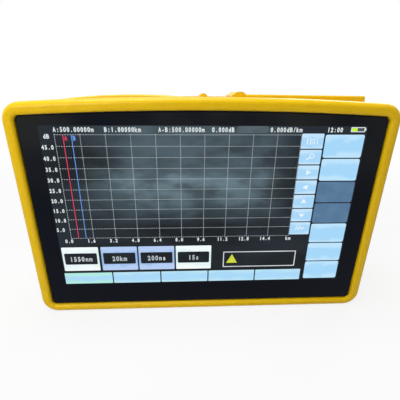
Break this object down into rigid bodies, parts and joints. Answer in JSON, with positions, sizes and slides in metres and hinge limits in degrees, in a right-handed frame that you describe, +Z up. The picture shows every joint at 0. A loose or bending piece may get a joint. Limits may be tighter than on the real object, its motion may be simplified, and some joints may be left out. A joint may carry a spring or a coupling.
{
  "type": "optical time domain reflectometer",
  "caption": "Hand-held fibre test set: a touch screen in a rounded silicone sleeve, with hinged flaps over the top ports, a power key, a battery cover and a folding rear stand.",
  "frame": {"origin": "middle of the footprint, on the surface that the device stands on", "axes": "+X to the right of the screen, +Y from the screen towards the back, +Z up"},
  "size_m": [0.1828, 0.042, 0.1195],
  "materials": {
    "yellow_silicone": "matte moulded silicone",
    "black_case_plastic": "fine spark-eroded texture",
    "dark_stand_plastic": "fine texture",
    "cover_glass": "polished, black printed border",
    "gasket_foam": "foam adhesive",
    "display_panel": "lit liquid crystal panel",
    "display_tray": "pressed sheet",
    "ribbon_film": "polyimide film",
    "steel": "turned",
    "battery_wrap": "shrink wrap",
    "circuit_board": "solder mask",
    "chip_epoxy": "moulded epoxy",
    "tin_plate": "folded tin plate",
    "module_metal": "machined and anodised",
    "spool_plastic": "moulded",
    "fibre_buffer": "fibre buffer",
    "nickel_plate": "nickel plated, turned",
    "brass_tube": "turned",
    "socket_plastic": "moulded",
    "key_plastic": "moulded",
    "speaker_frame": "painted"
  },
  "bodies": {
    "case": {"silicone_sleeve": "yellow_silicone", "front_frame": "black_case_plastic", "touch_glass": "cover_glass", "glass_gasket": "gasket_foam", "display_panel": "display_panel", "display_tray": "display_tray", "display_cable": "ribbon_film", "middle_frame": "black_case_plastic", "rear_shell": "black_case_plastic", "stand_pins": "steel", "battery_pack": "battery_wrap", "battery_bay": "black_case_plastic", "battery_cover": "dark_stand_plastic", "main_board": "circuit_board", "processor_shield": "tin_plate", "board_chips": "chip_epoxy", "optical_module": "module_metal", "fibre_spool": "spool_plastic", "fibre_pigtails": "fibre_buffer", "trace_port": "nickel_plate", "fault_locator_port": "nickel_plate", "power_meter_port": "nickel_plate", "fault_locator_laser": "brass_tube", "power_meter_detector": "steel", "usb_shell": "tin_plate", "usb_tongue": "socket_plastic", "micro_usb_socket": "tin_plate", "charging_socket": "socket_plastic", "socket_board": "circuit_board", "key_switch": "socket_plastic", "speaker": "speaker_frame"},
    "left_flap": {"left_flap": "yellow_silicone"},
    "right_flap": {"right_flap": "yellow_silicone"},
    "stand": {"stand": "dark_stand_plastic"},
    "power_key": {"power_key": "key_plastic"}
  },
  "joints": [
    {"name": "left_flap_hinge", "type": "hinge", "parent": "case", "child": "left_flap", "pos_m": [-0.0713, 0.00073, 0.11347], "axis": [0, -0.9969, 0.0785], "range_deg": [0, 105]},
    {"name": "right_flap_hinge", "type": "hinge", "parent": "case", "child": "right_flap", "pos_m": [0.0762, 0.00079, 0.11431], "axis": [0, 0.9969, -0.0785], "range_deg": [0, 105]},
    {"name": "stand_hinge", "type": "hinge", "parent": "case", "child": "stand", "pos_m": [0, 0.0184, 0.0865], "axis": [1, 0, 0], "range_deg": [0, 45]},
    {"name": "power_key_travel", "type": "slide", "parent": "case", "child": "power_key", "axis": [0, -0.0785, -0.9969], "range_m": [0, 0.0007], "stiffness_N_per_m": 600, "springref_m": -0.0005}
  ]
}
